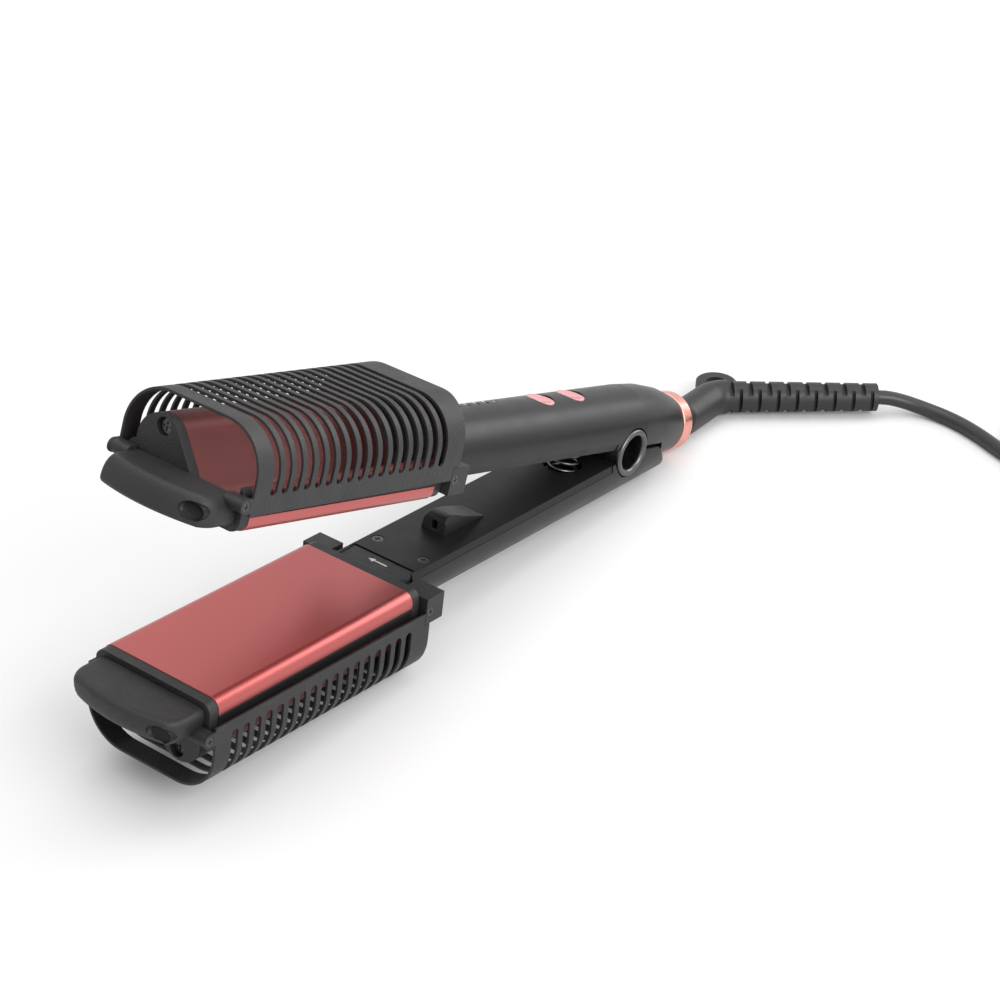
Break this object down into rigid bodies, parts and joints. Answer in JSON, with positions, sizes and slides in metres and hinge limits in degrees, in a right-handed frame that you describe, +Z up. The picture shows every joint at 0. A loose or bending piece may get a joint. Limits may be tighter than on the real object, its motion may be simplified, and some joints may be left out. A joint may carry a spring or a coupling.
{
  "type": "hair waver",
  "caption": "Two-arm hair waver and straightener: slotted cages carry turnable cores with a flat plate and an S-wave plate each; spring-open hinge, press buttons, swivel lead with plug.",
  "frame": {"origin": "middle of the underside of the two arms as they stand on a table, without lead and plug", "axes": "+Z up, +X along the arms from the cool tips towards the lead, +Y to the left when looking along +X"},
  "size_m": [0.5255, 0.2426, 0.1484],
  "materials": {
    "grained_black": "fine grained matte black heat-proof plastic",
    "satin_black": "satin black moulded handle plastic",
    "inner_black": "plain black moulding",
    "rose_plate": "ceramic coated, dark rose",
    "rose_button": "glossy rose",
    "rose_gold": "metallic rose gold, bright edges",
    "dark_chrome": "dark chrome",
    "screw_steel": "black oxide",
    "spring_steel": "dark oiled spring wire",
    "heater_aluminium": "mill finish",
    "heater_ceramic": "ceramic heater with film wrap",
    "circuit_board": "green solder mask",
    "light_guide": "translucent white",
    "soft_black": "satin black flexible moulding",
    "lead_black": "black flexible lead",
    "nickel_pin": "nickel plated brass pins with black sleeves"
  },
  "bodies": {
    "upper_arm": {"upper_handle_shell": "satin_black", "upper_inner_cover": "inner_black", "upper_cover_screws": "screw_steel", "upper_neck": "grained_black", "upper_cage": "grained_black", "upper_cool_tip": "grained_black", "upper_side_screws": "screw_steel", "upper_pivot_pins": "screw_steel", "control_board": "circuit_board", "indicator_lights": "light_guide", "end_ring": "rose_gold", "strain_relief": "soft_black", "mains_lead": "lead_black", "lead_coil": "lead_black", "coil_tie": "inner_black", "plug_lead": "lead_black", "plug_body": "soft_black", "plug_pins": "nickel_pin"},
    "lower_arm": {"lower_arm_shell": "satin_black", "lower_inner_cover": "inner_black", "lower_cover_screws": "screw_steel", "lower_neck": "grained_black", "lower_cage": "grained_black", "lower_cool_tip": "grained_black", "lower_side_screws": "screw_steel", "lower_pivot_pins": "screw_steel", "centring_wedge": "inner_black", "hinge_tube": "dark_chrome", "opening_spring": "spring_steel"},
    "upper_core": {"upper_flat_plate": "rose_plate", "upper_wave_plate": "rose_plate", "upper_core_rails": "inner_black", "upper_front_cap": "grained_black", "upper_rear_cap": "grained_black", "upper_cap_screw": "screw_steel", "upper_flat_heater": "heater_ceramic", "upper_wave_heater": "heater_aluminium", "upper_thermal_fuse": "spring_steel"},
    "lower_core": {"lower_flat_plate": "rose_plate", "lower_wave_plate": "rose_plate", "lower_core_rails": "inner_black", "lower_front_cap": "grained_black", "lower_rear_cap": "grained_black", "lower_cap_screw": "screw_steel", "lower_flat_heater": "heater_ceramic", "lower_wave_heater": "heater_aluminium", "lower_thermal_fuse": "spring_steel"},
    "power_button": {"power_button": "rose_button"},
    "mode_button": {"mode_button": "rose_button"},
    "upper_release": {"upper_release_button": "inner_black"},
    "lower_release": {"lower_release_button": "inner_black"},
    "swivel_collar": {"swivel_collar": "inner_black"}
  },
  "joints": [
    {"name": "arm_hinge", "type": "hinge", "parent": "upper_arm", "child": "lower_arm", "pos_m": [0.1143, 0, 0.02542], "axis": [0, -1, 0], "range_deg": [-13.3, 0], "stiffness_Nm_per_rad": 1.5, "springref_deg": 34.38, "deforming": ["opening_spring"]},
    {"name": "upper_core_turn", "type": "hinge", "parent": "upper_arm", "child": "upper_core", "pos_m": [-0.08679, 0, 0.10197], "axis": [0.9479, 0, -0.3186], "range_deg": [0, 180]},
    {"name": "lower_core_turn", "type": "hinge", "parent": "lower_arm", "child": "lower_core", "pos_m": [-0.10061, 0, 0.03598], "axis": [0.9961, 0, -0.0885], "range_deg": [0, 180]},
    {"name": "power_press", "type": "slide", "parent": "upper_arm", "child": "power_button", "axis": [-0.3186, 0, -0.9479], "range_m": [0, 0.0008], "stiffness_N_per_m": 500, "springref_m": -0.001},
    {"name": "mode_press", "type": "slide", "parent": "upper_arm", "child": "mode_button", "axis": [-0.3186, 0, -0.9479], "range_m": [0, 0.0008], "stiffness_N_per_m": 500, "springref_m": -0.001},
    {"name": "upper_release_press", "type": "slide", "parent": "upper_arm", "child": "upper_release", "axis": [0.9479, 0, -0.3186], "range_m": [0, 0.0015], "stiffness_N_per_m": 500, "springref_m": -0.001},
    {"name": "lower_release_press", "type": "slide", "parent": "lower_arm", "child": "lower_release", "axis": [0.9961, 0, -0.0885], "range_m": [0, 0.0015], "stiffness_N_per_m": 500, "springref_m": -0.001},
    {"name": "collar_swivel", "type": "hinge", "parent": "upper_arm", "child": "swivel_collar", "pos_m": [0.17055, 0, 0.01073], "axis": [0.9479, 0, -0.3186], "continuous": true}
  ]
}
